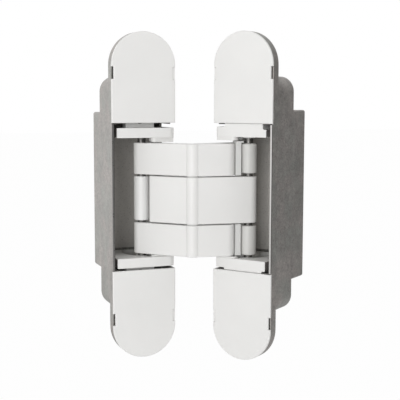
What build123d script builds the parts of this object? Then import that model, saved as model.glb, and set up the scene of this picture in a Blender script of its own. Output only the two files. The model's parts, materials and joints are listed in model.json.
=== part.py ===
"""Concealed door hinge with two mortised leaves, a crossed pair of arms and adjustable carriers.

Frame: X across the frame leaf towards its inner edge, Y into the door frame, Z up along the pivots.
The origin is the middle of the frame leaf's flange seat. Units are millimetres and degrees.
Each leaf is drawn as the frame leaf; the door leaf is its mirror image in the plane through the knuckle.
"""

import os
from math import cos, isclose, radians, sin

from build123d import *

# Leaf outline and depths, all depths measured from the cover's face
leaf_width = 23.5
leaf_height = 117.0
cover_thickness = 0.8
flange_depth = 4.4
body_depth = 16.5
deep_depth = 26.2
body_corner_radius = 5.5
deep_corner_radius = 0.8
back_edge_radius = 0.6

# Pocket for the arms and bay for the carrier's tongue
wall = 0.9
rim_land = 0.6
rim_step = 0.35
pocket_end_margin = 32.5
pocket_floor = 1.6
pocket_corner_radius = 0.8
window_margin = 0.7
frame_top_wall = 4.0
frame_bottom_wall = 1.7
door_top_wall = 5.0
door_bottom_wall = 4.7
bay_length = 14.0
upper_end_wall = 3.0
lower_end_wall = 1.7
bay_depth = 9.4
bay_corner_radius = 3.0
frame_bay_slack = 4.25
door_bay_slack = 0.4

# Covers
cover_gap = 0.4
cover_edge_radius = 0.35
notch_end_margin = 12.4
notch_length = 4.3
notch_depth = 0.8
recess_wall = 0.35
recess_reach = 0.6
recess_depth = 1.8
peg_radius = 1.2
peg_length = 2.2
peg_inset = 3.55
peg_margin = 2.5

# Wood-screw holes in the flange
screw_end_margin = 8.0
screw_hole_radius = 2.25
screw_head_radius = 4.0

# Linkage at rest: insets from the leaf's inner edge, depths from the cover's face
rest_opening = 127.0
full_opening = 180.0
outer_turn_ratio = 0.9
pivot_inset = 3.8
pivot_depth = 11.8
knuckle_overhang = 3.75
knuckle_stand_off = 7.9
slide_inset = 10.4
slide_depth = 7.4
height_setting = -0.5
arm_settling = -0.5

# Arms
middle_arm_height = 16.7
arm_gap = 0.45
web_half_thickness = 2.3
web_corner_radius = 1.5
middle_web_gap = 1.4
middle_nose_radius = 0.8
outer_web_gap = 2.5
outer_nose_radius = 3.0
knuckle_radius = 2.75
pivot_boss_radius = 3.0
slide_boss_radius = 2.85
arm_edge_radius = 0.35
same_point = 0.001
half_turn = 180.0

# Pins, bushes and rollers
pin_radius = 1.5
bush_wall = 0.6
running_clearance = 0.05
seat_clearance = 0.02
roller_radius = 2.2
roller_length = 2.0
slot_clearance = 0.3
washer_clearance = 0.05
pin_recess = 0.3
sleeve_edge_radius = 0.5
sleeve_end_gap = 0.3
outer_sleeve_end_gap = 0.65
strip_half_width = 1.6
strip_gap = 0.45
strip_rise = 0.8
lip_reach = 0.9
lip_gap = 0.3
collar_radius = 2.3
upper_collar_height = 1.7
lower_collar_height = 0.6

# Carriers
carrier_front = 0.9
carrier_back_wall = 1.0
carrier_height = 3.5
carrier_end_gap = 0.9
carrier_clearance = 0.35
carrier_edge_radius = 0.4
frame_carrier_inner = 0.1
frame_outer_gap = 1.05
door_carrier_inner = 0.7
door_outer_gap = 1.8
door_upper_lift = 0.5
lug_inset = 8.2
lug_depth = 8.4
lug_corner_radius = 1.5
frame_upper_lug_drop = 1.6
door_upper_lug_drop = 1.3
lower_lug_drop = 0.6
frame_lug_set_back = 1.0
door_lug_set_back = 0.2
bevel_inset = 1.5
frame_bevel = 0.6
door_bevel = 0.15
shoulder_radius = 0.5
upper_shoulder_drop = 0.85
tongue_inset = 6.5
tongue_front = 5.0
tongue_lift = 0.3
tongue_end_gap = 1.5
door_neck_inset = 4.15
door_neck_gap = 0.1

# Clamp and depth screws
clamp_margin = 6.4
clamp_radius = 2.5
clamp_head_radius = 4.2
clamp_head_height = 2.8
clamp_head_chamfer = 0.4
clamp_length = 9.5
clamp_end_gap = 0.7
clamp_travel = 2.0
clamp_slack = 0.2
hex_sides = 6
clamp_socket_width = 4.0
clamp_socket_depth = 1.8
depth_screw_margin = 1.7
depth_screw_radius = 1.25
depth_screw_socket = 1.3
depth_screw_socket_depth = 1.4


on_base = (Align.CENTER, Align.CENTER, Align.MIN)


def plan(inset, depth):
    """Point in plan, from its inset behind the leaf's inner edge and its depth behind the face."""
    return Vector(leaf_width / 2 - inset, depth - flange_depth)


def depth_y(depth):
    return depth - flange_depth


def bar(x, y, z):
    """Straight block between three pairs of limits."""
    size = [high - low for low, high in (x, y, z)]
    middle = [(high + low) / 2 for low, high in (x, y, z)]
    return Pos(*middle) * Box(*size)


def plate(outline, front, back):
    """Outline drawn in the leaf's front view, carried between two depths behind the face."""
    back_plane = Plane(origin=(0, depth_y(back), 0), x_dir=(1, 0, 0), z_dir=(0, -1, 0))
    return extrude(back_plane * outline, back - front)


def post(point, radius, bottom, top):
    """Upright cylinder on a point of the plan."""
    return Pos(point.X, point.Y, bottom) * Cylinder(radius, top - bottom, align=on_base)


def peg(x, z, radius, front, back):
    """Cylinder along the depth of a leaf."""
    return plate(Pos(x, z) * Circle(radius), front, back)


def tube(point, outer, inner, bottom, top):
    return post(point, outer, bottom, top) - post(point, inner, bottom, top)


# Heights along the leaf
pocket_half_height = leaf_height / 2 - pocket_end_margin
bay_half_height = pocket_half_height + bay_length
cover_start = pocket_half_height + cover_gap
notch_start = leaf_height / 2 - notch_end_margin - notch_length
peg_height = bay_half_height + upper_end_wall + peg_margin
screw_spacing = leaf_height - 2 * screw_end_margin
clamp_height = bay_half_height - clamp_margin
depth_screw_height = pocket_half_height + depth_screw_margin
tongue_end = bay_half_height - tongue_end_gap
carrier_bottom = pocket_half_height - carrier_end_gap - carrier_height
upper_neck_end = cover_start - door_neck_gap - height_setting
lower_neck_end = cover_start - door_neck_gap + height_setting

# Widths across the leaf
peg_spread = leaf_width - 2 * peg_inset
tongue_width = leaf_width - 2 * tongue_inset
door_neck_width = leaf_width - 2 * door_neck_inset
frame_bay_width = tongue_width + 2 * frame_bay_slack
door_bay_width = door_neck_width + 2 * door_bay_slack
frame_carrier_outer = leaf_width - wall - frame_outer_gap
door_carrier_outer = leaf_width - wall - door_outer_gap

# Linkage points and heights
pivot = plan(pivot_inset, pivot_depth)
knuckle = plan(-knuckle_overhang, -knuckle_stand_off)
slide = plan(slide_inset, slide_depth)
slide_reach = (slide - knuckle).length
half_opening = radians(rest_opening / 2)
mirror_plane = Plane(
    origin=(knuckle.X, knuckle.Y, 0), z_dir=(-sin(half_opening), cos(half_opening), 0)
)
fold_axis = Axis((knuckle.X, knuckle.Y, 0), (cos(half_opening), sin(half_opening), 0))
middle_top = middle_arm_height / 2
outer_bottom = middle_top + arm_gap
outer_top = carrier_bottom - lower_lug_drop - carrier_clearance + arm_settling
bush_radius = pin_radius + running_clearance + bush_wall
roller_top = carrier_bottom + roller_length
slot_roof = roller_top + slot_clearance
tongue_back = bay_depth - tongue_lift
clamp_hole_back = tongue_front + clamp_length + clamp_end_gap
window_back = pivot.Y + pivot_boss_radius + window_margin


def slide_at(opening):
    """Place of the frame leaf's sliding pin when the door stands at this opening."""
    middle_turn = (opening - rest_opening) / (1 + outer_turn_ratio)
    knuckle_now = pivot + (knuckle - pivot).rotate(Axis.Z, middle_turn)
    return knuckle_now + (slide - knuckle).rotate(Axis.Z, middle_turn * outer_turn_ratio)


slot_line = ThreePointArc(slide_at(0), slide_at(full_opening / 2), slide_at(full_opening))
deepest_slide = max(slide_at(0).Y, slide_at(full_opening / 2).Y)
carrier_back = deepest_slide + roller_radius + slot_clearance + carrier_back_wall


def door_side(shape):
    """The same piece on the door leaf."""
    return mirror(shape, about=mirror_plane)


def upside_down(shape):
    return mirror(shape, about=Plane.XY)


def works(shape):
    """Moves a piece to the height that the adjustment is set to."""
    return Pos(0, 0, height_setting) * shape


def settled(shape):
    """Moves a piece of the arms to the height at which they rest over the lower carriers."""
    return Pos(0, 0, height_setting + arm_settling) * shape


def pry_recess(edge):
    """Hollow in the flange behind a cover's pry notch, inside the leaf's long edge on this side."""
    side = edge * (leaf_width / 2 - recess_wall)
    inner = edge * (leaf_width / 2 - notch_depth - recess_reach)
    return Pos((side + inner) / 2, notch_start + notch_length / 2) * Rectangle(abs(side - inner), notch_length)


def housing(top_wall, bottom_wall, top_end, bottom_end, bay_width):
    """Die-cast leaf: round-ended flange, rounded body, deep middle and a rim round the open pocket."""
    deep_top = pocket_half_height + top_wall
    deep_bottom = pocket_half_height + bottom_wall
    flange = plate(SlotOverall(leaf_height, leaf_width, rotation=90), cover_thickness, flange_depth)
    body_outline = Pos(0, (top_end - bottom_end) / 2) * RectangleRounded(
        leaf_width, 2 * bay_half_height + top_end + bottom_end, body_corner_radius
    )
    body = plate(body_outline, cover_thickness, body_depth)
    deep_outline = Pos(0, (deep_top - deep_bottom) / 2) * RectangleRounded(
        leaf_width, deep_top + deep_bottom, deep_corner_radius
    )
    deep = plate(deep_outline, body_depth - wall, deep_depth)
    rim = plate(Rectangle(leaf_width, 2 * pocket_half_height), 0, cover_thickness)
    shell = flange + body + deep + rim
    shell = fillet(shell.faces().sort_by(Axis.Y)[-1].edges(), back_edge_radius)

    pocket_outline = RectangleRounded(leaf_width - 2 * wall, 2 * pocket_half_height, pocket_corner_radius)
    shell -= plate(pocket_outline, cover_thickness, deep_depth - pocket_floor)
    shell -= plate(Rectangle(leaf_width - 2 * wall, 2 * pocket_half_height), 0, cover_thickness)
    shell -= plate(Rectangle(leaf_width - 2 * rim_land, 2 * pocket_half_height), 0, rim_step)
    inner = leaf_width / 2
    shell -= bar(
        (inner - pocket_corner_radius - wall, inner),
        (depth_y(0), window_back),
        (-cover_start, cover_start),
    )
    bay_outline = RectangleRounded(bay_width, 2 * bay_half_height, bay_corner_radius)
    shell -= plate(bay_outline, cover_thickness, bay_depth)

    for z in (-screw_spacing / 2, screw_spacing / 2):
        sink = screw_head_radius - screw_hole_radius
        shell -= peg(0, z, screw_hole_radius, cover_thickness, flange_depth)
        mouth = Plane(origin=(0, depth_y(cover_thickness), z), z_dir=(0, 1, 0))
        shell -= mouth * Cone(screw_head_radius, screw_hole_radius, sink, align=on_base)
    for edge in (-1, 1):
        recess = plate(pry_recess(edge), cover_thickness, cover_thickness + recess_depth)
        shell -= recess + upside_down(recess)
    for z in (-1, 1):
        for x in (-peg_spread / 2, peg_spread / 2):
            shell -= peg(x, z * peg_height, peg_radius + running_clearance, cover_thickness, flange_depth)
        shell -= peg(0, z * clamp_height, clamp_radius + running_clearance, bay_depth, clamp_hole_back)
    return shell


def cover():
    """Upper clip-on cover: round end, pry notches in both long edges and two pegs behind."""
    outline = SlotOverall(leaf_height, leaf_width, rotation=90)
    middle = leaf_height / 4 + cover_start / 2
    outline &= Pos(0, middle) * Rectangle(leaf_width, leaf_height / 2 - cover_start)
    notch = Pos(0, notch_start + notch_length / 2) * Rectangle(2 * notch_depth, notch_length)
    for edge in (-leaf_width / 2, leaf_width / 2):
        outline -= Pos(edge, 0) * notch
    lid = plate(outline, 0, cover_thickness)
    lid = fillet(lid.faces().sort_by(Axis.Y)[0].edges(), cover_edge_radius)
    for x in (-peg_spread / 2, peg_spread / 2):
        lid += peg(x, peg_height, peg_radius, cover_thickness - cover_edge_radius, cover_thickness + peg_length)
    return lid


def carrier(inner, outer, bevel, lug_set_back, lug_drop, lift, neck):
    """Upper carrier: guide block with the arms' slot and pivot bore, and the tongue under the cover."""
    left = plan(outer, 0).X
    right = plan(inner, 0).X
    behind_window = min(right, leaf_width / 2 - wall - carrier_clearance)
    front = depth_y(carrier_front)
    bottom = carrier_bottom + lift
    top = bottom + carrier_height
    lug_bottom = bottom - lug_drop
    footing = Polyline(
        (left, front),
        (plan(bevel_inset, 0).X, front),
        (right, front + bevel),
        (right, window_back - carrier_clearance),
        (behind_window, window_back - carrier_clearance),
        (behind_window, carrier_back),
        (left, carrier_back),
        close=True,
    )
    block = extrude(Pos(0, 0, bottom) * make_face(footing), carrier_height)
    block = fillet(block.edges().filter_by(Axis.Y).group_by(Axis.X)[0], carrier_edge_radius)

    lug_left = plan(lug_inset, 0).X
    lug_front = front + lug_set_back
    lug_back = depth_y(lug_depth)
    lug_middle = Pos((lug_left + right) / 2, (lug_front + lug_back) / 2)
    lug = lug_middle * Rectangle(right - lug_left, lug_back - lug_front)
    lug = fillet(lug.vertices().sort_by_distance((lug_left, lug_front, 0))[0], lug_corner_radius)

    half_tongue = tongue_width / 2
    tongue = bar(
        (-half_tongue, half_tongue), (depth_y(tongue_front), depth_y(tongue_back)), (bottom, tongue_end)
    )
    tongue = fillet(tongue.edges().filter_by(Axis.Y).group_by(Axis.Z)[-1], bay_corner_radius)
    piece = block + extrude(Pos(0, 0, lug_bottom) * lug, bottom - lug_bottom) + tongue + neck

    slot = SlotArc(slot_line, 2 * (roller_radius + slot_clearance))
    clamp_hole = Pos(0, clamp_height) * SlotOverall(
        clamp_travel + 2 * clamp_radius, 2 * (clamp_radius + clamp_slack), rotation=90
    )
    piece -= Pos(0, 0, lug_bottom) * extrude(slot, slot_roof - lug_bottom)
    piece -= post(pivot, pin_radius + seat_clearance, bottom, roller_top + seat_clearance)
    piece -= plate(clamp_hole, tongue_front, tongue_back)
    piece -= peg(0, depth_screw_height, depth_screw_radius + seat_clearance, tongue_front, tongue_back)
    return piece


def frame_carrier(lug_drop):
    """Carrier of the frame leaf, its lug set back behind the front bar."""
    return carrier(
        frame_carrier_inner, frame_carrier_outer, frame_bevel, frame_lug_set_back, lug_drop, 0, Part()
    )


def door_carrier(lug_drop, lift, neck_end):
    """Carrier of the door leaf, with a wide neck that closes the gap to the cover."""
    top = carrier_bottom + lift + carrier_height
    base = top - 2 * shoulder_radius
    neck = Pos(0, (neck_end + base) / 2) * Rectangle(door_neck_width, neck_end - base)
    neck += Pos(0, (top + base) / 2) * Rectangle(door_neck_width + 4 * shoulder_radius, top - base)
    sides = (-door_neck_width / 2, door_neck_width / 2)
    neck = fillet([neck.vertices().sort_by_distance((x, top, 0))[0] for x in sides], shoulder_radius)
    return carrier(
        door_carrier_inner, door_carrier_outer, door_bevel, door_lug_set_back, lug_drop, lift,
        plate(neck, carrier_front, tongue_back),
    )


def door_upper_carrier():
    """Upper carrier of the door leaf, its outer shoulder lowered in a hollow round."""
    top = carrier_bottom + door_upper_lift + carrier_height
    low = top - upper_shoulder_drop
    high = top + shoulder_radius
    side = -door_neck_width / 2
    end = -leaf_width / 2
    hollow = Pos((side + end) / 2, (low + high) / 2) * Rectangle(side - end, high - low)
    hollow = fillet(hollow.vertices().sort_by_distance((side, low, 0))[0], upper_shoulder_drop)
    return door_carrier(door_upper_lug_drop, door_upper_lift, upper_neck_end) - plate(hollow, 0, deep_depth)


def clamp_screw(z):
    """Socket-head screw that clamps a tongue to the bottom of its bay."""
    head = peg(0, z, clamp_head_radius, tongue_front - clamp_head_height, tongue_front)
    head = chamfer(head.faces().sort_by(Axis.Y)[0].edges(), clamp_head_chamfer)
    shank = peg(0, z, clamp_radius, tongue_front, tongue_front + clamp_length)
    socket = Pos(0, z) * RegularPolygon(clamp_socket_width / 2, hex_sides, major_radius=False)
    socket_front = tongue_front - clamp_head_height
    return head + shank - plate(socket, socket_front, socket_front + clamp_socket_depth)


def depth_screw(z, front):
    """Set screw in the tongue that bears on the bottom of the bay."""
    stem = peg(0, z, depth_screw_radius, front, bay_depth)
    socket = Pos(0, z) * RegularPolygon(depth_screw_socket / 2, hex_sides, major_radius=False)
    return stem - plate(socket, front, front + depth_screw_socket_depth)


def hull(*circles):
    """Outline stretched round circles, each a point of the plan and a radius."""
    edges = ShapeList()
    for point, radius in circles:
        edges += (Pos(point.X, point.Y) * Circle(radius)).edges()
    return make_hull(edges)


def rounded(outline, bottom, top):
    """Outline of the plan carried between two heights, with its rims rounded."""
    solid = extrude(Pos(0, 0, bottom) * outline, top - bottom)
    rims = solid.faces().sort_by(Axis.Z)[0].edges() + solid.faces().sort_by(Axis.Z)[-1].edges()
    return fillet(rims, arm_edge_radius)


def arm(bottom, top, knuckle_bore, web_gap, nose_radius):
    """Chevron arm: a deep half turning on the frame pivot and a slim half carrying the door's sliding pin."""
    web_end = slide_reach - slide_boss_radius - web_gap
    at_knuckle = (knuckle, web_half_thickness)
    at_pivot = (pivot, pivot_boss_radius)
    at_slide = (slide, slide_boss_radius)
    web = hull(at_knuckle, at_pivot, at_slide) & Pos(knuckle.X, knuckle.Y) * Circle(web_end)
    web = fillet(web.vertices().sort_by_distance((slide.X, slide.Y, 0))[0], nose_radius)
    deep = web + hull(at_knuckle, at_pivot)
    on_end = deep.vertices().filter_by(
        lambda v: isclose((v.center() - knuckle).length, web_end, abs_tol=same_point)
    )
    deep = fillet(on_end.sort_by_distance((pivot.X, pivot.Y, 0))[0], web_corner_radius)
    core = post(knuckle, (web_half_thickness + knuckle_radius) / 2, bottom, top)
    slim = rounded(hull(at_knuckle, at_slide), bottom, top) - core
    bead = rounded(Pos(knuckle.X, knuckle.Y) * Circle(knuckle_radius), bottom, top)
    solid = (rounded(deep, bottom, top) - core) + bead + door_side(slim)
    solid -= post(knuckle, knuckle_bore, bottom, top)
    solid -= post(pivot, bush_radius + seat_clearance, bottom, top)
    return solid - door_side(post(slide, pin_radius + seat_clearance, bottom, top))


def sliding_pin():
    """Pin that carries the slim ends and runs in the carriers' slots."""
    return post(slide, pin_radius, -roller_top, roller_top)


def sleeve(bottom, top):
    """Turning sleeve on a sliding pin, its ends rounded."""
    solid = post(slide, slide_boss_radius, bottom, top)
    solid = fillet(solid.edges().filter_by(GeomType.CIRCLE), sleeve_edge_radius)
    return solid - post(slide, pin_radius + running_clearance, bottom, top)


def outer_pivot_bush(collar_height):
    """Bush of an outer arm, with a collar that stands over the arm."""
    bore = pin_radius + running_clearance
    bush = tube(pivot, bush_radius, bore, outer_bottom, outer_top)
    return bush + tube(pivot, collar_radius, bore, outer_top, outer_top + collar_height)


def bearing_strip(rise):
    """Strip in the hollow end of an outer arm; one that rises over the arm has a lip above the sleeve."""
    strip = hull((knuckle, strip_half_width), (slide, strip_half_width))
    foot = Pos(knuckle.X, knuckle.Y) * Circle(slide_reach - slide_boss_radius - outer_web_gap + seat_clearance)
    reach = slide_reach - slide_boss_radius - strip_gap
    upright = (strip & Pos(knuckle.X, knuckle.Y) * Circle(reach)) - foot
    solid = extrude(Pos(0, 0, outer_bottom) * upright, outer_top + rise - outer_bottom)
    if rise > lip_gap:
        lip = (strip & Pos(knuckle.X, knuckle.Y) * Circle(reach + lip_reach)) - foot
        solid += extrude(Pos(0, 0, outer_top + lip_gap) * lip, rise - lip_gap)
    return solid


def rollers():
    return pair(tube(slide, roller_radius, pin_radius + seat_clearance, carrier_bottom, roller_top))


def pair(upper):
    """A piece and its mirror image below, as one group."""
    return Compound([upper, upside_down(upper)])


upper_cover = cover()
clamp_screws = pair(clamp_screw(clamp_height))
depth_screws = pair(depth_screw(depth_screw_height, tongue_front))
outer_arm = door_side(
    arm(outer_bottom, outer_top, pin_radius + seat_clearance, outer_web_gap, outer_nose_radius)
)
pivot_pin = post(pivot, pin_radius, -roller_top, roller_top)
washer = tube(
    knuckle, bush_radius, pin_radius + running_clearance,
    middle_top + washer_clearance, outer_bottom - washer_clearance,
)
middle_pivot_bush = tube(pivot, bush_radius, pin_radius + running_clearance, -middle_top, middle_top)
knuckle_bush = tube(knuckle, bush_radius, pin_radius + running_clearance, -middle_top, middle_top)
outer_sleeve = sleeve(outer_bottom + outer_sleeve_end_gap, outer_top)

pieces = {
    "frame_housing": housing(
        frame_top_wall, frame_bottom_wall, upper_end_wall, lower_end_wall, frame_bay_width
    ),
    "frame_upper_cover": upper_cover,
    "frame_lower_cover": upside_down(upper_cover),
    "frame_upper_carrier": works(frame_carrier(frame_upper_lug_drop)),
    "frame_lower_carrier": works(upside_down(frame_carrier(lower_lug_drop))),
    "frame_clamp_screws": clamp_screws,
    "frame_depth_screws": works(depth_screws),
    "frame_pivot_pin": works(pivot_pin),
    "door_housing": housing(
        door_bottom_wall, door_top_wall, lower_end_wall, upper_end_wall, door_bay_width
    ).rotate(fold_axis, half_turn),
    "door_upper_cover": door_side(upper_cover),
    "door_lower_cover": door_side(upside_down(upper_cover)),
    "door_upper_carrier": works(door_side(door_upper_carrier())),
    "door_lower_carrier": works(door_side(upside_down(door_carrier(lower_lug_drop, 0, lower_neck_end)))),
    "door_clamp_screws": door_side(clamp_screws),
    "door_depth_screws": works(door_side(depth_screws)),
    "door_pivot_pin": works(door_side(pivot_pin)),
    "middle_arm": settled(
        arm(-middle_top, middle_top, bush_radius + seat_clearance, middle_web_gap, middle_nose_radius)
    ),
    "middle_pivot_bush": settled(middle_pivot_bush),
    "knuckle_bush": settled(knuckle_bush),
    "door_sliding_pin": works(door_side(sliding_pin())),
    "door_upper_sleeve": settled(door_side(outer_sleeve)),
    "door_lower_sleeve": settled(door_side(upside_down(outer_sleeve))),
    "door_rollers": works(door_side(rollers())),
    "upper_outer_arm": settled(outer_arm),
    "lower_outer_arm": settled(upside_down(outer_arm)),
    "upper_pivot_bush": settled(door_side(outer_pivot_bush(upper_collar_height))),
    "lower_pivot_bush": settled(door_side(upside_down(outer_pivot_bush(lower_collar_height)))),
    "upper_bearing_strip": settled(door_side(bearing_strip(strip_rise))),
    "lower_bearing_strip": settled(door_side(upside_down(bearing_strip(0)))),
    "knuckle_pin": settled(post(knuckle, pin_radius, pin_recess - outer_top, outer_top - pin_recess)),
    "knuckle_washers": settled(pair(washer)),
    "frame_sliding_pin": works(sliding_pin()),
    "frame_sleeve": settled(sleeve(sleeve_end_gap - middle_top, middle_top - sleeve_end_gap)),
    "frame_rollers": works(rollers()),
}

os.makedirs("parts", exist_ok=True)
for name, piece in pieces.items():
    export_step(piece, f"parts/{name}.step")
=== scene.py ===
"""Looks for a concealed door hinge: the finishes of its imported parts, threaded screws, casting
marks, the covers' snap tabs and a studio."""

import json
import math

import bpy
import numpy as np
from bpy.props import FloatProperty, FloatVectorProperty, PointerProperty
from mathutils import Matrix, Vector


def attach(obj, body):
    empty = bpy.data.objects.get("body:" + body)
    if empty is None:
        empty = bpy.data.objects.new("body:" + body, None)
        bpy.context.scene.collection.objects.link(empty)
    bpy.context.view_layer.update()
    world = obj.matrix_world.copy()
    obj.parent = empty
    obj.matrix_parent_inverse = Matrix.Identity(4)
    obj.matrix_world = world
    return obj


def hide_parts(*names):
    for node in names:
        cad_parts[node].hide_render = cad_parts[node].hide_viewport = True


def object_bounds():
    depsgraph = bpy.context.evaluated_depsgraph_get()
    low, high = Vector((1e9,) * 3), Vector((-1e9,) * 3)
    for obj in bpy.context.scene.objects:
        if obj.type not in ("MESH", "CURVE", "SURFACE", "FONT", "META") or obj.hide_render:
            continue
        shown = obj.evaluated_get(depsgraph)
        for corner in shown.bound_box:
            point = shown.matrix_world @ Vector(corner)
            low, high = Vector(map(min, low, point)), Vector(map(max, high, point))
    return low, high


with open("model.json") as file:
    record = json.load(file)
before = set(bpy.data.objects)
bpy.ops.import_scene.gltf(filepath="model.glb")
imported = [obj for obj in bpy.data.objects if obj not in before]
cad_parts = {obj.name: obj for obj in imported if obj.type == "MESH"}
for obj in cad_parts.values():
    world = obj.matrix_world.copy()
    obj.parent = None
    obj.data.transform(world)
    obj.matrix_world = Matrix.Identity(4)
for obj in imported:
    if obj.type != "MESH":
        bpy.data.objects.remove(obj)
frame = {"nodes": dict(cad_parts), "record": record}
cad_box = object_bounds()
mounts = {mount["name"]: mount for mount in frame["record"]["mounts"]}

bl_info = {
    "name": "Concealed hinge finishes",
    "version": (1, 0, 0),
    "blender": (4, 5, 0),
    "location": "View3D > Sidebar > Hinge",
    "description": "Dresses a packed concealed door hinge and sets up its studio",
    "category": "Object",
}

MM = 0.001
WHITE = (1.0, 1.0, 1.0, 1.0)

# A leaf's own axes: across it, into the wood and up
ACROSS, INTO, UP = range(3)

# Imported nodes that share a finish
COATED_NODES = (
    "frame_upper_cover", "frame_lower_cover", "door_upper_cover", "door_lower_cover",
    "middle_arm", "upper_outer_arm", "lower_outer_arm",
)
FRAME_SLEEVE_NODES = ("frame_sleeve",)
DOOR_SLEEVE_NODES = ("door_upper_sleeve", "door_lower_sleeve")
BUSH_NODES = (
    "middle_pivot_bush", "knuckle_bush", "upper_pivot_bush", "lower_pivot_bush",
    "upper_bearing_strip", "lower_bearing_strip", "knuckle_washers",
    "frame_rollers", "door_rollers",
)
STEEL_NODES = (
    "frame_pivot_pin", "door_pivot_pin", "knuckle_pin",
    "frame_clamp_screws", "door_clamp_screws", "frame_depth_screws", "door_depth_screws",
)
BLACKENED_NODES = ("frame_sliding_pin", "door_sliding_pin")

# How finely the drawn pieces are cut
SCREW_COLUMNS = 48
ROWS_PER_TURN = 8
TAB_COLUMNS = 48
MARK_COLUMNS = 40
MARK_ROWS = 14
EDGE_ROWS = 5

# The power that squares a tab's corners, and the angle from which an edge looks sharp
TAB_POWER = 0.25
SHARP_ANGLE = math.radians(35.0)

# Distance from which the camera sees
CAMERA_NEAR = 0.01


class Value:
    """A shader socket that takes part in Python arithmetic: each operator adds one Math node."""

    def __init__(self, graph, socket):
        self.graph = graph
        self.socket = socket

    def __add__(self, other):
        return self.graph.math("ADD", self, other)

    def __radd__(self, other):
        return self.graph.math("ADD", other, self)

    def __sub__(self, other):
        return self.graph.math("SUBTRACT", self, other)

    def __rsub__(self, other):
        return self.graph.math("SUBTRACT", other, self)

    def __mul__(self, other):
        return self.graph.math("MULTIPLY", self, other)

    def __rmul__(self, other):
        return self.graph.math("MULTIPLY", other, self)

    def __abs__(self):
        return self.graph.math("ABSOLUTE", self)

    def __lt__(self, other):
        return self.graph.math("LESS_THAN", self, other)

    def __gt__(self, other):
        return self.graph.math("GREATER_THAN", self, other)


class Graph:
    """A node tree that is filled by one method and by arithmetic on its sockets."""

    def __init__(self, tree):
        self.tree = tree
        self.tree.nodes.clear()

    def add(self, kind, settings, inputs, output=0):
        """Adds a node, sets its settings first and then its sockets, and returns an output."""
        node = self.tree.nodes.new(kind)
        for key, value in settings.items():
            setattr(node, key, value)
        for key, value in inputs.items():
            if isinstance(value, Value):
                self.tree.links.new(value.socket, node.inputs[key])
            else:
                node.inputs[key].default_value = value
        return Value(self, node.outputs[output] if node.outputs else None)

    def math(self, operation, *values):
        return self.add("ShaderNodeMath", {"operation": operation}, dict(enumerate(values)))

    def noise(self, place, scale, detail, roughness=0.5, distortion=0.0):
        inputs = {"Vector": place, "Scale": scale, "Detail": detail}
        inputs.update({"Roughness": roughness, "Distortion": distortion})
        return self.add("ShaderNodeTexNoise", {}, inputs)

    def rise(self, value, start, end, low=0.0, high=1.0):
        """A level that is low up to a start value, changes evenly and is high from an end value."""
        inputs = {0: value, 1: start, 2: end, 3: low, 4: high}
        return self.add("ShaderNodeMapRange", {}, inputs)

    def fall(self, value, start, end):
        """1 up to a start value, falling evenly to 0 at an end value."""
        return self.rise(value, start, end, low=1.0, high=0.0)

    def blend(self, factor, first, second):
        """Mixes two colours by a factor."""
        settings = {"data_type": "RGBA", "blend_type": "MIX"}
        return self.add("ShaderNodeMix", settings, {0: factor, 6: first, 7: second}, 2)

    def dot(self, place, direction):
        """How far a place lies along a direction."""
        inputs = {0: place, 1: direction}
        return self.add("ShaderNodeVectorMath", {"operation": "DOT_PRODUCT"}, inputs, "Value")

    def bump(self, height, strength, distance):
        inputs = {"Height": height, "Strength": strength, "Distance": distance}
        return self.add("ShaderNodeBump", {}, inputs)


def rgba(colour, shade=1.0):
    """An opaque colour, darkened to a share of its brightness."""
    return tuple(channel * shade for channel in colour) + (1.0,)


def swing(noise, spread):
    """A noise's change either way about its middle level, this wide in all."""
    return (noise - 0.5) * spread


def new_material(name):
    """A new material and the graph of its nodes."""
    material = bpy.data.materials.new(name)
    material.use_nodes = True
    return material, Graph(material.node_tree)


def finish_surface(graph, inputs):
    """Joins a Principled surface with these sockets to the material's output."""
    surface = graph.add("ShaderNodeBsdfPrincipled", {}, inputs)
    graph.add("ShaderNodeOutputMaterial", {}, {"Surface": surface})


def object_place(graph):
    """A point's place on its own object, which is its place in the part's frame."""
    return graph.add("ShaderNodeTexCoord", {}, {}, "Object")


def stretched(graph, place, scale):
    """A place scaled along each axis, so that a pattern is drawn out where the scale is small."""
    return graph.add("ShaderNodeMapping", {}, {"Vector": place, "Scale": scale})


def leaf_place(graph, place, matrix, axis):
    """Place of a point along one of a leaf's own axes."""
    along = matrix.to_3x3().col[axis]
    return graph.dot(place, along) - along.dot(matrix.translation)


def inner_side(matrix):
    """1 where a leaf's inner edge, by the knuckle, lies on the plus side across it, else -1."""
    middle = (cad_box[0] + cad_box[1]) / 2
    return math.copysign(1.0, matrix.to_3x3().col[ACROSS].dot(middle - matrix.translation))


def coat_skin(graph, place, colours):
    """White satin powder coat: a faint cloudiness, fine orange peel and a slightly uneven sheen.
    Gives its colour and its other sockets."""
    cloud = graph.noise(place, scale=60.0, detail=3.0)
    peel = graph.noise(place, scale=1500.0, detail=2.0)
    grit = graph.noise(place, scale=5200.0, detail=1.0)
    tone = graph.rise(cloud, start=0.3, end=0.7)
    colour = graph.blend(tone, rgba(colours.coat, shade=0.965), rgba(colours.coat))
    roughness = colours.coat_roughness + swing(cloud, spread=0.08) + swing(grit, spread=0.06)
    normal = graph.bump(peel + grit * 0.35, strength=0.10, distance=0.12 * MM)
    return colour, {"Roughness": roughness, "Normal": normal}


def coat_material(colours):
    """White satin powder coat on the covers and arms."""
    material, graph = new_material("white_satin_coat")
    colour, skin = coat_skin(graph, object_place(graph), colours)
    finish_surface(graph, {"Base Color": colour, **skin})
    return material


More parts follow.
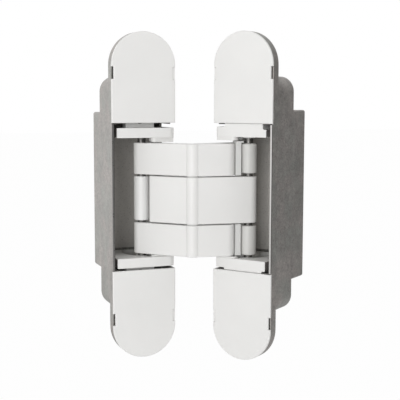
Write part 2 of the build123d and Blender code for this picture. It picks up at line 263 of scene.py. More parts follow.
def carrier_material(name, colours, sizes, matrix, end_shade_start):
    """The coat on a leaf's carriers, with painted shade: the coat darkens to grey towards the
    pocket's bottom, and the outer ends are painted dark as shade."""
    material, graph = new_material(name)
    place = object_place(graph)
    colour, skin = coat_skin(graph, place, colours)
    depth = leaf_place(graph, place, matrix, INTO) - sizes.face
    # Painted shade: the coat darkens to grey deeper in the pocket.
    darken = graph.rise(depth, sizes.coat_shade_start, sizes.coat_shade_end)
    colour = graph.blend(darken, colour, rgba(colours.coat_pocket_shade))
    # Painted shade: the carriers' outer end faces are painted in dark zinc.
    outer = leaf_place(graph, place, matrix, ACROSS) * -inner_side(matrix)
    colour = graph.blend(outer > end_shade_start, colour, rgba(colours.zinc_dark))
    finish_surface(graph, {"Base Color": colour, **skin})
    return material


def inside_mask(graph, place, matrix, sizes, half_height, back):
    """1 on a housing's inner walls, up to a height either way from the carriers' middle and down
    to a depth, else 0."""
    across = leaf_place(graph, place, matrix, ACROSS)
    into = leaf_place(graph, place, matrix, INTO)
    up = leaf_place(graph, place, matrix, UP) - sizes.height_setting
    return (abs(across) < sizes.pocket_half_width) * (abs(up) < half_height) * (into < back)


def zinc_material(name, colours, sizes, matrix):
    """Raw die-cast zinc: grey mottles drawn out by the metal's flow, cool patches, pale bloom, dark
    pits and a sandy grain. A painted highlight runs along the front rim above a step painted dark
    and fully metallic as shade, painted shade darkens the gaps beside the carriers, and the pocket
    is painted paler as painted light, with a less metallic skin."""
    material, graph = new_material(name)
    place = object_place(graph)
    drawn_out = stretched(graph, place, (1.0, 1.0, 0.55))
    flow = graph.noise(drawn_out, scale=150.0, detail=6.0, roughness=0.62, distortion=0.8)
    bloom = graph.noise(place, scale=420.0, detail=4.0, roughness=0.6, distortion=0.4)
    sand = graph.noise(place, scale=1500.0, detail=3.0, roughness=0.65)
    grain = graph.noise(place, scale=3600.0, detail=2.0, roughness=0.6)
    cool = graph.noise(place, scale=95.0, detail=3.0, roughness=0.55, distortion=0.5)
    pits = graph.add("ShaderNodeTexVoronoi", {"feature": "F1"}, {"Vector": place, "Scale": 900.0})
    mixed = flow * 0.22 + bloom * 0.18 + sand * 0.35 + grain * 0.25
    mottle = graph.rise(mixed, start=0.41, end=0.59)
    patch = graph.rise(cool, start=0.42, end=0.6)
    speck = graph.fall(pits, start=0.10, end=0.22)
    depth = leaf_place(graph, place, matrix, INTO) - sizes.face
    # Painted shade: the front step is painted dark and made fully metallic.
    rim = graph.fall(depth, sizes.rim_start, sizes.rim_end)
    # Painted highlight: a bright, smoother line along the front edges.
    highlight = graph.fall(depth, sizes.highlight_start, sizes.highlight_end)
    # Painted shade: the gaps beside the carriers are darkened.
    gap = inside_mask(graph, place, matrix, sizes, sizes.gap_shade_half_height, sizes.gap_shade_back)
    # Painted light: the pocket is painted paler, with a less metallic skin.
    pocket = inside_mask(graph, place, matrix, sizes, sizes.pocket_half_height, sizes.pocket_back)

    pale = graph.blend(patch, rgba(colours.zinc_light), rgba(colours.zinc_cool))
    colour = graph.blend(mottle, rgba(colours.zinc_dark), pale)
    colour = graph.blend(gap, colour, rgba(colours.zinc_dark, shade=0.35))
    colour = graph.blend(pocket * (0.75 + mottle * 0.2), colour, rgba(colours.zinc_pocket_light))
    colour = graph.blend(speck * 0.35, colour, rgba(colours.zinc_dark, shade=0.6))
    colour = graph.blend(rim, colour, rgba(colours.zinc_dark))
    colour = graph.blend(highlight, colour, rgba(colours.zinc_highlight))

    roughness = colours.zinc_roughness + mottle * 0.10 + swing(grain, spread=0.12) - highlight * 0.18
    height = grain * 0.5 + bloom * 0.4 - speck * 0.6
    normal = graph.bump(height, strength=0.22, distance=0.15 * MM)
    skin_metal = colours.zinc_metal - pocket * (colours.zinc_metal - colours.pocket_metal)
    metal = graph.math("MAXIMUM", skin_metal, rim)
    finish_surface(graph, {
        "Base Color": colour, "Roughness": roughness, "Normal": normal, "Metallic": metal,
    })
    return material


def plastic_material(name, colour, dullness):
    """Moulded white plastic: smooth, with a fine eroded texture and a faint flow tone along its
    height."""
    material, graph = new_material(name)
    place = object_place(graph)
    drawn_out = stretched(graph, place, (1.0, 1.0, 0.3))
    flow = graph.noise(drawn_out, scale=220.0, detail=3.0)
    spark = graph.noise(place, scale=4200.0, detail=1.0)
    tone = graph.rise(flow, start=0.3, end=0.7)
    base = graph.blend(tone, rgba(colour, shade=0.95), rgba(colour))
    roughness = dullness + swing(spark, spread=0.08)
    normal = graph.bump(spark, strength=0.08, distance=0.08 * MM)
    finish_surface(graph, {"Base Color": base, "Roughness": roughness, "Normal": normal})
    return material


def steel_material(name, colour, dullness):
    """Ground steel under a thin finish: fine rings of grinding, a cloudy tone and small dull
    spots."""
    material, graph = new_material(name)
    place = object_place(graph)
    drawn_out = stretched(graph, place, (0.05, 0.05, 1.0))
    rings = graph.noise(drawn_out, scale=5200.0, detail=2.0)
    cloud = graph.noise(place, scale=500.0, detail=4.0)
    tone = graph.rise(cloud, start=0.35, end=0.65)
    base = graph.blend(tone, rgba(colour, shade=0.82), rgba(colour))
    roughness = dullness + swing(rings, spread=0.16) + (1 - tone) * 0.08
    normal = graph.bump(rings, strength=0.06, distance=0.05 * MM)
    finish_surface(graph, {
        "Base Color": base, "Roughness": roughness, "Normal": normal, "Metallic": 1.0,
    })
    return material


def ray_kinds(graph):
    """1 for rays of the camera or through clear things, and 1 for rays of reflections."""
    camera = graph.add("ShaderNodeLightPath", {}, {}, "Is Camera Ray")
    outputs = camera.socket.node.outputs
    through = Value(graph, outputs["Is Transmission Ray"])
    return graph.math("MAXIMUM", camera, through), Value(graph, outputs["Is Glossy Ray"])


def surround(graph, direction, studio):
    """Brightness of the studio in a direction: white overhead and on its bright side, falling to
    the dim side."""
    towards = graph.dot(direction, tuple(studio.bright_side))
    side = graph.rise(towards, start=-0.6, end=0.5, low=studio.dim_side, high=studio.lit_side)
    up = graph.add("ShaderNodeSeparateXYZ", {}, {0: direction}, "Z")
    overhead = graph.rise(up, start=0.3, end=0.75, high=studio.lit_side)
    return graph.math("MAXIMUM", side, overhead)


def white_where_seen(seen, light):
    """White for the rays that see a thing, and the light's own brightness for the rest."""
    return seen * (1 - light) + light


def white_world(studio):
    """World that is white where it is seen, bright on one side where it is mirrored, and an even
    light elsewhere."""
    world = bpy.data.worlds.new("white_surround")
    world.use_nodes = True
    graph = Graph(world.node_tree)
    seen, mirrored = ray_kinds(graph)
    direction = graph.add("ShaderNodeTexCoord", {}, {}, "Generated")
    light = mirrored * (surround(graph, direction, studio) - studio.ambient) + studio.ambient
    strength = white_where_seen(seen, light)
    sky = graph.add("ShaderNodeBackground", {}, {"Color": WHITE, "Strength": strength})
    graph.add("ShaderNodeOutputWorld", {}, {"Surface": sky})
    return world


def floor_material(studio):
    """Pale floor: nearly white where it is seen, with its shadows faint, and lit near the hinge
    where it is mirrored."""
    material, graph = new_material("pale_floor")
    seen, mirrored = ray_kinds(graph)
    place = object_place(graph)
    direction = graph.add("ShaderNodeVectorMath", {"operation": "NORMALIZE"}, {0: place})
    distance = graph.add("ShaderNodeVectorMath", {"operation": "LENGTH"}, {0: place}, "Value")
    near = graph.fall(distance, studio.floor_near, studio.floor_far)
    side = surround(graph, direction, studio)
    light = side + near * (studio.floor_light - side)
    strength = white_where_seen(seen, light)
    pale = graph.add("ShaderNodeBsdfDiffuse", {}, {"Color": rgba(studio.floor)})
    white = graph.add("ShaderNodeEmission", {}, {"Color": WHITE, "Strength": strength})
    white_share = graph.math("MAXIMUM", seen, mirrored) * studio.floor_white
    surface = graph.add("ShaderNodeMixShader", {}, {0: white_share, 1: pale, 2: white})
    graph.add("ShaderNodeOutputMaterial", {}, {"Surface": surface})
    return material


def dress(names, material):
    """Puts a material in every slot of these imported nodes."""
    for name in names:
        node = frame["nodes"][name]
        if not node.material_slots:
            node.data.materials.append(material)
        for slot in node.material_slots:
            slot.material = material


def finish_of(name):
    """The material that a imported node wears."""
    return frame["nodes"][name].material_slots[0].material


def leaf_places():
    """Each leaf's body and the matrix from its own frame (across, into the wood, up) to the part's
    frame."""
    places = {}
    for side, body in (("frame", "frame_leaf"), ("door", "door_leaf")):
        mount = mounts[side + "_screw_holes"]
        into = -Vector(mount["axis"])
        up = Vector((0.0, 0.0, 1.0))
        across = into.cross(up)
        turn = Matrix((across, into, up)).transposed().to_4x4()
        places[side] = (body, Matrix.Translation(Vector(mount["pos_m"])) @ turn)
    return places


def leaf_points(name, matrix):
    """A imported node's points in its leaf's own frame."""
    vertices = frame["nodes"][name].data.vertices
    points = np.empty(3 * len(vertices))
    vertices.foreach_get("co", points)
    return (points.reshape(-1, 3) - np.array(matrix.translation)) @ np.array(matrix.to_3x3())


def shoulder_back(name, matrix, height):
    """Depth of a housing's back from the flange's seat, past this height from the leaf's middle."""
    points = leaf_points(name, matrix)
    return points[np.abs(points[:, UP]) > height, INTO].max()


def grid_triangles(rows, columns):
    """Triangles of a grid whose columns close on themselves: each cell is cut along a diagonal."""
    row, column = np.meshgrid(np.arange(rows - 1), np.arange(columns), indexing="ij")
    after = (column + 1) % columns
    low = row * columns
    high = low + columns
    first = np.stack([low + column, low + after, high + after], axis=-1)
    second = np.stack([low + column, high + after, high + column], axis=-1)
    return np.concatenate([first.reshape(-1, 3), second.reshape(-1, 3)])


def closed_rings(rings, first_pole, last_pole):
    """Vertices and triangles of rings (row, column, xyz) joined in order and closed by a point at
    each end."""
    rows, columns = rings.shape[:2]
    points = np.concatenate([rings.reshape(-1, 3), first_pole[None], last_pole[None]])
    here = np.arange(columns)
    after = (here + 1) % columns
    pole = np.full(columns, rows * columns)
    last = (rows - 1) * columns
    start = np.stack([pole, after, here], axis=-1)
    end = np.stack([pole + 1, last + here, last + after], axis=-1)
    return points, np.concatenate([grid_triangles(rows, columns), start, end])


def circle(steps):
    """Angles spaced evenly round a full turn, without the one that closes it."""
    return np.linspace(0, 2 * math.pi, steps, endpoint=False)


def hexagon(angle, across_flats):
    """Radius of a hexagon's side at an angle: half the width over flats, over the cosine from the
    nearest flat."""
    step = math.pi / 3
    return across_flats / 2 / np.cos((angle + step / 2) % step - step / 2)


def thread(along, angle, radius, pitch, depth):
    """Radius of a right-hand thread: the full radius less a triangle wave of the turns counted
    along the axis."""
    wave = np.abs(2 * ((along / pitch - angle / (2 * math.pi)) % 1.0) - 1)
    return radius - depth * wave


def quarter_round(edge):
    """A quarter circle of this radius: its insets, falling from the radius to 0, and its depths,
    rising from 0 to the radius."""
    turn = np.linspace(0, math.pi / 2, EDGE_ROWS)
    return edge * (1 - np.sin(turn)), edge * (1 - np.cos(turn))


def screw_shell(screw):
    """Screw along +Y from its head: rings of radius r(t, angle) at depth y(t), where the socket's
    walls follow a hexagon, the head's edge a quarter circle, and the shank the thread's triangle
    wave, drawn in at the tip."""
    angle = circle(SCREW_COLUMNS)
    socket = hexagon(angle, screw.socket)
    depths = [np.array([screw.socket_depth, screw.socket_bevel, 0.0])]
    radii = [socket + np.array([0.0, 0.0, screw.socket_bevel])[:, None]]
    if screw.head_height > 0:
        inset, sunk = quarter_round(screw.head_edge)
        rim = np.append(screw.head_radius - inset, screw.head_radius)
        depths.append(np.append(sunk, screw.head_height))
        radii.append(rim[:, None] * np.ones(SCREW_COLUMNS))
    rows = round(ROWS_PER_TURN * (screw.length - screw.head_height) / screw.pitch)
    along = np.linspace(screw.head_height, screw.length, rows)
    to_tip = (screw.length - along) / (2 * screw.thread_depth)
    drawn_in = np.clip(1 - to_tip, 0, 1) * screw.thread_depth
    shank = thread(along[:, None], angle, screw.radius, screw.pitch, screw.thread_depth)
    depths.append(along)
    radii.append(shank - drawn_in[:, None])
    depth = np.concatenate(depths)[:, None] * np.ones(SCREW_COLUMNS)
    radius = np.concatenate(radii)
    rings = np.stack([radius * np.cos(angle), depth, radius * np.sin(angle)], axis=-1)
    bottom = np.array([0.0, screw.socket_depth, 0.0])
    tip = np.array([0.0, screw.length, 0.0])
    return closed_rings(rings, bottom, tip)


def tab_shell(width, length, depth, edge):
    """Block along +Y with rounded corners: rings whose width and length follow a superellipse, the
    cosine and the sine of the angle raised to a small power, drawn in by a quarter circle at both
    ends."""
    angle = circle(TAB_COLUMNS)
    across = np.sign(np.cos(angle)) * np.abs(np.cos(angle)) ** TAB_POWER
    up = np.sign(np.sin(angle)) * np.abs(np.sin(angle)) ** TAB_POWER
    falling, rising = quarter_round(edge)
    inset = np.concatenate([falling, rising])[:, None]
    along = np.concatenate([rising, depth - falling])[:, None] * np.ones(TAB_COLUMNS)
    rings = np.stack([(width / 2 - inset) * across, along, (length / 2 - inset) * up], axis=-1)
    return closed_rings(rings, np.zeros(3), np.array([0.0, depth, 0.0]))


def ring_shell(radius, width, height):
    """Low round bead lying on a face that looks along +Y: an ellipse of the width and twice the
    height, swept round a circle."""
    angle = circle(MARK_COLUMNS)
    section = circle(MARK_ROWS)[:, None]
    spread = radius + width / 2 * np.cos(section)
    rise = height * np.sin(section) * np.ones(MARK_COLUMNS)
    rings = np.stack([spread * np.cos(angle), rise, spread * np.sin(angle)], axis=-1)
    triangles = grid_triangles(MARK_ROWS + 1, MARK_COLUMNS) % (MARK_ROWS * MARK_COLUMNS)
    return rings.reshape(-1, 3), triangles[:, ::-1]


def copies(shell, places, matrix):
    """Copies of a closed shell at places in a leaf's own frame, carried into the part's frame."""
    points, triangles = shell
    turn = np.array(matrix.to_3x3()).T
    shift = np.array(matrix.translation)
    return [((points + np.array(place)) @ turn + shift, triangles) for place in places]


def add_piece(name, shells, material, body):
    """Makes one object of several closed shells, each its vertices and triangles, riding on a
    body."""
    points = np.concatenate([vertices for vertices, _ in shells])
    before = np.cumsum([0] + [len(vertices) for vertices, _ in shells])
    faces = np.concatenate([triangles + first for (_, triangles), first in zip(shells, before)])
    mesh = bpy.data.meshes.new(name)
    mesh.from_pydata(points.tolist(), [], faces.tolist())
    mesh.polygons.foreach_set("use_smooth", np.ones(len(mesh.polygons), bool))
    mesh.set_sharp_from_angle(angle=SHARP_ANGLE)
    mesh.materials.append(material)
    piece = bpy.data.objects.new(name, mesh)
    bpy.context.scene.collection.objects.link(piece)
    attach(piece, body)
    return piece


def colour_property(name, description, default):
    """A colour."""
    return FloatVectorProperty(
        name=name, description=description, subtype="COLOR", default=default, min=0.0, max=1.0,
    )


def share_property(name, description, default):
    """A share between none and all."""
    return FloatProperty(
        name=name, description=description, subtype="FACTOR", default=default, min=0.0, max=1.0,
    )


def size_property(name, description, millimetres):
    """A size on the hinge, with its default in millimetres."""
    return FloatProperty(
        name=name, description=description, unit="LENGTH", default=millimetres * MM,
    )


def distance_property(name, description, metres):
    """A distance in the studio, with its default in metres."""
    return FloatProperty(name=name, description=description, unit="LENGTH", default=metres)


def place_property(name, description, default):
    """A place in the studio, in metres."""
    return FloatVectorProperty(
        name=name, description=description, subtype="TRANSLATION", unit="LENGTH", default=default,
    )


def direction_property(name, description, default):
    """A direction in the studio."""
    return FloatVectorProperty(
        name=name, description=description, subtype="DIRECTION", default=default,
    )


def power_property(name, description, watts):
    """The power of a lamp."""
    return FloatProperty(name=name, description=description, unit="POWER", default=watts)


def brightness_property(name, description, default):
    """A brightness, where 1 is white."""
    return FloatProperty(name=name, description=description, default=default, min=0.0)


class HingeColours(bpy.types.PropertyGroup):
    """Colours and sheen of the hinge's finishes."""

    coat: colour_property(
        "White coat", "Powder coat on the covers, carriers and arms", (0.82, 0.815, 0.80),
    )
    # Painted shade on the carriers' coat deeper in the pocket.
    coat_pocket_shade: colour_property(
        "Dimmed coat", "Coat of the carriers near the pocket's bottom", (0.46, 0.455, 0.44),
    )
    coat_roughness: share_property("Coat roughness", "How dull the white coat is", 0.42)
    zinc_light: colour_property(
        "Zinc, pale", "Paler mottles of the cast housings", (0.485, 0.45, 0.428),
    )
    zinc_cool: colour_property(
        "Zinc, cool", "Cooler patches of the cast housings", (0.43, 0.436, 0.408),
    )
    zinc_dark: colour_property(
        "Zinc, dark", "Darker mottles of the cast housings", (0.262, 0.25, 0.238),
    )
    # Painted highlight along the housings' front edges.
    zinc_highlight: colour_property(
        "Zinc, highlighted", "Front rim where the casting is highlighted", (0.56, 0.55, 0.535),
    )
    # Painted light: the pocket's paler colour.
    zinc_pocket_light: colour_property(
        "Zinc, pocket", "Paler skin inside the housings' pockets", (0.62, 0.60, 0.57),
    )
    zinc_roughness: share_property(
        "Zinc roughness", "How dull the dark mottles of the cast skin are", 0.46,
    )
    zinc_metal: share_property("Zinc metal", "How metallic the cast skin looks", 0.62)
    pocket_metal: share_property(
        "Pocket metal", "How metallic the skin in the pockets looks", 0.12,
    )
    # Painted light and shade: the frame sleeve is painted paler, the door sleeves darker.
    frame_sleeve: colour_property(
        "Frame sleeve", "White sleeve on the frame leaf's sliding pin", (0.84, 0.84, 0.83),
    )
    shaded_door_sleeve: colour_property(
        "Door sleeves", "White sleeves on the door leaf's sliding pin", (0.66, 0.655, 0.635),
    )
    sleeve_roughness: share_property("Sleeve roughness", "How dull the sleeves are", 0.38)
    bush: colour_property(
        "Bushes", "Bushes, bearing strips, washers and rollers", (0.74, 0.74, 0.725),
    )
    bush_roughness: share_property(
        "Bush roughness", "How dull the bushes, strips, washers and rollers are", 0.48,
    )
    steel: colour_property("Steel", "Pivot pins, knuckle pin and screws", (0.60, 0.60, 0.59))
    steel_roughness: share_property("Steel roughness", "How dull the plated steel is", 0.26)
    blackened: colour_property("Blackened steel", "Sliding pins", (0.20, 0.195, 0.187))
    blackened_roughness: share_property(
        "Blackened roughness", "How dull the blackened steel is", 0.42,
    )


class HingeSizes(bpy.types.PropertyGroup):
    """Places of the finishes on the leaves, and sizes of the casting marks and the snap tabs."""

    face: size_property("Face", "Place of the leaf's face from the flange's seat", -4.4)
    height_setting: size_property(
        "Height setting", "How far the carriers stand above the leaf's middle", -0.5,
    )
    # Depths of the painted highlight along the front edges.
    highlight_start: size_property(
        "Highlight start", "Depth from the face to which the highlighted rim is at its brightest", 0.06,
    )
    highlight_end: size_property("Highlight end", "Depth from the face where the highlighted rim ends", 0.2)
    # Depths of the painted shade on the front step below the highlight.
    rim_start: size_property(
        "Rim start", "Depth from the face to which the step below the trim is shadowed metal", 0.45,
    )
    rim_end: size_property("Rim end", "Depth from the face where the shadowed metal ends", 0.6)
    pocket_half_width: size_property(
        "Pocket half width", "Middle of the pocket's side walls from the leaf's middle", 11.3,
    )
    # Reach of the painted light in the pocket.
    pocket_half_height: size_property(
        "Pocket half height", "Ends of the open pocket from the carriers' middle", 21.4,
    )
    pocket_back: size_property(
        "Pocket back", "Middle of the pocket's bottom wall from the flange's seat", 21.0,
    )
    # Reach of the painted shade in the gaps beside the carriers.
    gap_shade_half_height: size_property(
        "Gap half height", "Ends of the gaps beside the carriers from the carriers' middle", 27.0,
    )
    gap_shade_back: size_property(
        "Gap back", "Depth of the dark gaps beside the carriers from the flange's seat", 8.0,
    )
    # Width of the painted shade on the carriers' outer end faces.
    end_shade_width: size_property(
        "Shaded skin", "Thickness of the shadowed skin on the carriers' outer ends", 0.07,
    )
    # Depths of the painted shade on the carriers' coat.
    coat_shade_start: size_property(
        "Dimmed coat start", "Depth from the face where the carriers' coat starts to thin", 7.0,
    )
    coat_shade_end: size_property(
        "Dimmed coat end", "Depth from the face where the carriers' coat is thinnest", 15.0,
    )
    tab_place: size_property(
        "Tab place", "Middle of a cover's snap tab from the leaf's middle line", 11.36,
    )
    tab_height: size_property(
        "Tab height", "Middle of a cover's snap tab from the leaf's middle", 43.95,
    )
    tab_front: size_property(
        "Tab front", "Front of a cover's snap tab from the flange's seat", -4.05,
    )
    tab_width: size_property("Tab width", "Width of a cover's snap tab", 0.72)
    tab_length: size_property("Tab length", "Length of a cover's snap tab up the leaf", 4.2)
    tab_depth: size_property("Tab depth", "Thickness of a cover's snap tab", 0.45)
    tab_edge: size_property("Tab edge", "Radius of the edges of a cover's snap tab", 0.1)
    mark_radius: size_property(
        "Ejector mark radius", "Radius of the round casting marks on the back", 2.2,
    )
    mark_width: size_property("Ejector mark width", "Width of a casting mark's rim", 0.5)
    mark_place: size_property(
        "Ejector mark place", "Distance of the casting marks from the leaf's middle line", 5.6,
    )
    mark_height: size_property(
        "Ejector mark height", "Height of the casting marks from the leaf's middle", 36.3,
    )
    mark_rise: size_property(
        "Ejector mark rise", "How far a casting mark's rim stands up", 0.14,
    )


class HingeClampScrew(bpy.types.PropertyGroup):
    """Sizes of the screws that clamp the carriers."""

    height: size_property("Height", "Height either way from the leaf's middle", 33.6)
    front: size_property("Front", "Place of the head's front from the flange's seat", -2.2)
    length: size_property("Length", "Length of the screw with its head", 12.3)
    radius: size_property("Radius", "Outside of the thread", 2.5)
    pitch: size_property("Pitch", "Distance between the threads", 0.8)
    thread_depth: size_property("Thread depth", "Depth of the thread", 0.42)
    head_radius: size_property("Head radius", "Radius of the head", 4.2)
    head_height: size_property("Head height", "Height of the head", 2.8)
    head_edge: size_property("Head edge", "Radius of the head's rounded edge", 0.35)
    socket: size_property("Socket", "Width of the hexagon socket over its flats", 4.0)
    socket_depth: size_property("Socket depth", "Depth of the socket", 1.8)
    socket_bevel: size_property("Socket bevel", "Bevel at the socket's mouth", 0.15)


class HingeDepthScrew(bpy.types.PropertyGroup):
    """Sizes of the headless screws that set the carriers' depth."""

    height: size_property("Height", "Height either way from the carriers' middle", 27.7)
    front: size_property("Front", "Place of the screw's front from the flange's seat", 0.6)
    length: size_property("Length", "Length of the screw", 4.4)
    radius: size_property("Radius", "Outside of the thread", 1.25)
    pitch: size_property("Pitch", "Distance between the threads", 0.45)
    thread_depth: size_property("Thread depth", "Depth of the thread", 0.24)
    head_height: size_property("Head height", "Height of the head, none on this screw", 0.0)
    socket: size_property("Socket", "Width of the hexagon socket over its flats", 1.3)
    socket_depth: size_property("Socket depth", "Depth of the socket", 1.4)
    socket_bevel: size_property("Socket bevel", "Bevel at the socket's mouth", 0.08)


class HingeStudio(bpy.types.PropertyGroup):
    """Camera, light and floor of the studio."""

    camera_place: place_property(
        "Camera place", "Where the camera stands", (-0.09745, -0.31406, 0.03484),
    )
    camera_aim: direction_property(
        "Camera aim", "Direction the camera looks in", (0.3559, 0.9281, -0.1099),
    )
    camera_roll: FloatProperty(
        name="Camera roll", description="Turn of the camera about its aim", subtype="ANGLE",
        default=math.radians(0.14),
    )
    lens: FloatProperty(
        name="Lens", description="Focal length in millimetres", unit="CAMERA", default=82.1,
    )
    key_power: power_property("Key light", "Power of the large soft light on the left", 2.35)
    key_place: place_property(
        "Key place", "Place of the key light from the hinge's middle", (-0.48, -0.66, 0.08),
    )
    key_size: distance_property("Key size", "Diameter of the key light", 0.36)
    fill_power: power_property("Fill light", "Power of the weak light on the right", 0.2)
    fill_place: place_property(
        "Fill place", "Place of the fill light from the hinge's middle", (0.55, -0.62, 0.25),
    )
    fill_size: distance_property("Fill size", "Diameter of the fill light", 0.50)
    ambient: brightness_property("Ambient", "Strength of the even light all round", 0.65)
    bright_side: direction_property(
        "Bright side", "Direction of the studio's bright side", (-0.8, 0.6, 0.0),
    )
    dim_side: brightness_property(
        "Dim side", "Brightness of the studio that metal mirrors on its dim side", 0.06,
    )
    lit_side: brightness_property(
        "Lit side", "Brightness of the studio that metal mirrors on its bright side", 1.18,
    )
    floor_light: brightness_property(
        "Floor light", "Brightness of the near floor that metal mirrors", 0.65,
    )
    floor: colour_property("Floor", "Colour of the floor", (0.93, 0.93, 0.93))
    floor_white: share_property(
        "Floor white", "Share of the seen floor that is white and takes no shadow", 0.97,
    )
    floor_gap: distance_property("Floor gap", "How far the floor lies below the hinge", 0.03)
    floor_near: distance_property(
        "Near floor", "Distance to which the near floor's light is full", 0.10,
    )
    floor_far: distance_property("Far floor", "Distance where the near floor's light ends", 0.45)
    floor_reach: distance_property("Floor reach", "Half the width of the floor", 3.0)


class HingeSettings(bpy.types.PropertyGroup):
    """All the settings of the hinge's looks."""

    colours: PointerProperty(
        type=HingeColours, name="Colours", description="Colours and sheen of the finishes",
    )
    sizes: PointerProperty(
        type=HingeSizes, name="Sizes", description="Places of finishes and sizes of fine pieces",
    )
    clamp_screw: PointerProperty(
        type=HingeClampScrew, name="Clamp screw", description="Sizes of the clamp screws",
    )
    depth_screw: PointerProperty(
        type=HingeDepthScrew, name="Depth screw", description="Sizes of the depth screws",
    )
    studio: PointerProperty(
        type=HingeStudio, name="Studio", description="Camera, light and floor",
    )


class HINGE_OT_cast_housings(bpy.types.Operator):
    """Gives both die-cast housings their raw zinc skin"""

    bl_idname = "hinge.cast_housings"
    bl_label = "Cast housings"

    def execute(self, context):
        settings = context.scene.hinge
        for side, (_, matrix) in leaf_places().items():
            name = "raw_cast_zinc_" + side
            material = zinc_material(name, settings.colours, settings.sizes, matrix)
            dress((side + "_housing",), material)
        return {"FINISHED"}


class HINGE_OT_ejector_marks(bpy.types.Operator):
    """Draws the round marks of the mould's ejectors on the back of the housings' shoulders"""

    bl_idname = "hinge.ejector_marks"
    bl_label = "Ejector marks"

    def execute(self, context):
        sizes = context.scene.hinge.sizes
        bead = ring_shell(sizes.mark_radius, sizes.mark_width, sizes.mark_rise)
        for side, (body, matrix) in leaf_places().items():
            housing = side + "_housing"
            back = shoulder_back(housing, matrix, sizes.mark_height)
            places = [
                (x, back, z)
                for x in (-sizes.mark_place, sizes.mark_place)
                for z in (-sizes.mark_height, sizes.mark_height)
            ]
            shells = copies(bead, places, matrix)
            add_piece(side + "_ejector_marks", shells, finish_of(housing), body)
        return {"FINISHED"}


class HINGE_OT_white_coat(bpy.types.Operator):
    """Gives the covers, arms and carriers their white satin coat"""

    bl_idname = "hinge.white_coat"
    bl_label = "White coated parts"

    def execute(self, context):
        settings = context.scene.hinge
        colours, sizes = settings.colours, settings.sizes
        dress(COATED_NODES, coat_material(colours))
        for side, (_, matrix) in leaf_places().items():
            carriers = (side + "_upper_carrier", side + "_lower_carrier")
            # Where the painted shade on the carriers' outer end faces begins.
            outwards = leaf_points(carriers[0], matrix)[:, ACROSS] * -inner_side(matrix)
            end_shade_start = outwards.max() - sizes.end_shade_width
            name = side + "_carrier_coat"
            dress(carriers, carrier_material(name, colours, sizes, matrix, end_shade_start))
        return {"FINISHED"}


class HINGE_OT_cover_tabs(bpy.types.Operator):
    """Draws the covers' snap tabs in the notches of their inner edges"""

    bl_idname = "hinge.cover_tabs"
    bl_label = "Cover tabs"

    def execute(self, context):
        sizes = context.scene.hinge.sizes
        tab = tab_shell(sizes.tab_width, sizes.tab_length, sizes.tab_depth, sizes.tab_edge)
        for side, (body, matrix) in leaf_places().items():
            x = sizes.tab_place * inner_side(matrix)
            places = [(x, sizes.tab_front, z) for z in (-sizes.tab_height, sizes.tab_height)]
            shells = copies(tab, places, matrix)
            material = finish_of(side + "_upper_cover")
            add_piece(side + "_cover_tabs", shells, material, body)
        return {"FINISHED"}


class HINGE_OT_plastics(bpy.types.Operator):
    """Gives the sleeves, bushes, bearing strips, washers and rollers their moulded plastic"""

    bl_idname = "hinge.plastics"
    bl_label = "Plastic parts"

    def execute(self, context):
        colours = context.scene.hinge.colours
        sleeve, bush = colours.sleeve_roughness, colours.bush_roughness
        # Painted light and shade: the frame sleeve paler, the door sleeves darker.
        for nodes, name, colour, dullness in (
            (FRAME_SLEEVE_NODES, "lit_frame_sleeve_plastic", colours.frame_sleeve, sleeve),
            (DOOR_SLEEVE_NODES, "door_sleeve_plastic", colours.shaded_door_sleeve, sleeve),
            (BUSH_NODES, "white_bush_plastic", colours.bush, bush),
        ):
            dress(nodes, plastic_material(name, colour, dullness))
        return {"FINISHED"}


class HINGE_OT_pins(bpy.types.Operator):
    """Gives the pins and screws their ground steel, plated or blackened"""

    bl_idname = "hinge.pins"
    bl_label = "Steel pins"

    def execute(self, context):
        colours = context.scene.hinge.colours
        plated, blackened = colours.steel_roughness, colours.blackened_roughness
        for nodes, name, colour, dullness in (
            (STEEL_NODES, "plated_ground_steel", colours.steel, plated),
            (BLACKENED_NODES, "blackened_ground_steel", colours.blackened, blackened),
        ):
            dress(nodes, steel_material(name, colour, dullness))
        return {"FINISHED"}


class HINGE_OT_screws(bpy.types.Operator):
    """Draws the clamp and depth screws with their threads and hexagon sockets"""

    bl_idname = "hinge.screws"
    bl_label = "Clamp and depth screws"

    def execute(self, context):
        settings = context.scene.hinge
        leaf_middle, carrier_middle = 0.0, settings.sizes.height_setting
        kinds = (
            ("_clamp_screws", "_clamp_screw_threads", settings.clamp_screw, leaf_middle),
            ("_depth_screws", "_depth_screw_threads", settings.depth_screw, carrier_middle),
        )
        for side, (body, matrix) in leaf_places().items():
            for solids, threads, screw, middle in kinds:
                places = [(0.0, screw.front, middle + z) for z in (-screw.height, screw.height)]
                shells = copies(screw_shell(screw), places, matrix)
                material = finish_of(side + solids)
                piece = add_piece(side + threads, shells, material, body)
                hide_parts(side + solids)
        return {"FINISHED"}


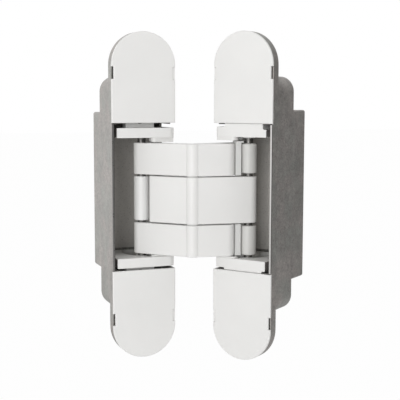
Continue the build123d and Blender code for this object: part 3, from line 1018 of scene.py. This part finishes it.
class HINGE_OT_studio(bpy.types.Operator):
    """Sets up the pale floor, the white surround, the soft lights and the camera"""

    bl_idname = "hinge.studio"
    bl_label = "Studio"

    def execute(self, context):
        studio = context.scene.hinge.studio
        context.scene.view_settings.view_transform = "Standard"
        context.scene.world = white_world(studio)
        self.add_floor(context, studio)
        for name, power, place, size in (
            ("key_light", studio.key_power, studio.key_place, studio.key_size),
            ("fill_light", studio.fill_power, studio.fill_place, studio.fill_size),
        ):
            self.add_light(context, name, power, Vector(place), size)
        self.add_camera(context, studio)
        return {"FINISHED"}

    @staticmethod
    def add_floor(context, studio):
        """Adds a square floor below the hinge."""
        reach = studio.floor_reach
        height = cad_box[0].z - studio.floor_gap
        corners = [
            (-reach, -reach, height), (reach, -reach, height),
            (reach, reach, height), (-reach, reach, height),
        ]
        mesh = bpy.data.meshes.new("floor")
        mesh.from_pydata(corners, [], [(0, 1, 2, 3)])
        mesh.materials.append(floor_material(studio))
        floor = bpy.data.objects.new("floor", mesh)
        context.scene.collection.objects.link(floor)

    @staticmethod
    def add_light(context, name, power, offset, size):
        """Adds a round soft light at an offset from the hinge's middle, which it faces."""
        light = bpy.data.lights.new(name, "AREA")
        light.shape = "DISK"
        light.size = size
        light.energy = power
        lamp = bpy.data.objects.new(name, light)
        lamp.location = (cad_box[0] + cad_box[1]) / 2 + offset
        lamp.rotation_euler = (-offset).to_track_quat("-Z", "Y").to_euler()
        context.scene.collection.objects.link(lamp)

    @staticmethod
    def add_camera(context, studio):
        """Adds the camera at the photograph's viewing angle."""
        camera = bpy.data.cameras.new("photo_camera")
        camera.lens = studio.lens
        camera.clip_start = CAMERA_NEAR
        holder = bpy.data.objects.new("photo_camera", camera)
        aim = Vector(studio.camera_aim).to_track_quat("-Z", "Y").to_matrix()
        turn = aim @ Matrix.Rotation(studio.camera_roll, 3, "Z")
        holder.matrix_world = Matrix.Translation(Vector(studio.camera_place)) @ turn.to_4x4()
        context.scene.collection.objects.link(holder)
        context.scene.camera = holder


class HINGE_PT_looks(bpy.types.Panel):
    """Lists the steps that dress the hinge"""

    bl_label = "Hinge"
    bl_idname = "HINGE_PT_looks"
    bl_space_type = "VIEW_3D"
    bl_region_type = "UI"
    bl_category = "Hinge"

    def draw(self, context):
        for step in STEPS:
            self.layout.operator(step.bl_idname)


GROUPS = (HingeColours, HingeSizes, HingeClampScrew, HingeDepthScrew, HingeStudio, HingeSettings)
STEPS = (
    HINGE_OT_cast_housings, HINGE_OT_ejector_marks, HINGE_OT_white_coat, HINGE_OT_cover_tabs,
    HINGE_OT_plastics, HINGE_OT_pins, HINGE_OT_screws, HINGE_OT_studio,
)
CLASSES = GROUPS + STEPS + (HINGE_PT_looks,)


def register():
    for cls in CLASSES:
        bpy.utils.register_class(cls)
    bpy.types.Scene.hinge = PointerProperty(type=HingeSettings)


def unregister():
    del bpy.types.Scene.hinge
    for cls in reversed(CLASSES):
        bpy.utils.unregister_class(cls)


def main():
    register()
    bpy.ops.hinge.cast_housings()
    bpy.ops.hinge.ejector_marks()
    bpy.ops.hinge.white_coat()
    bpy.ops.hinge.cover_tabs()
    bpy.ops.hinge.plastics()
    bpy.ops.hinge.pins()
    bpy.ops.hinge.screws()
    bpy.ops.hinge.studio()


if __name__ == "__main__":
    main()
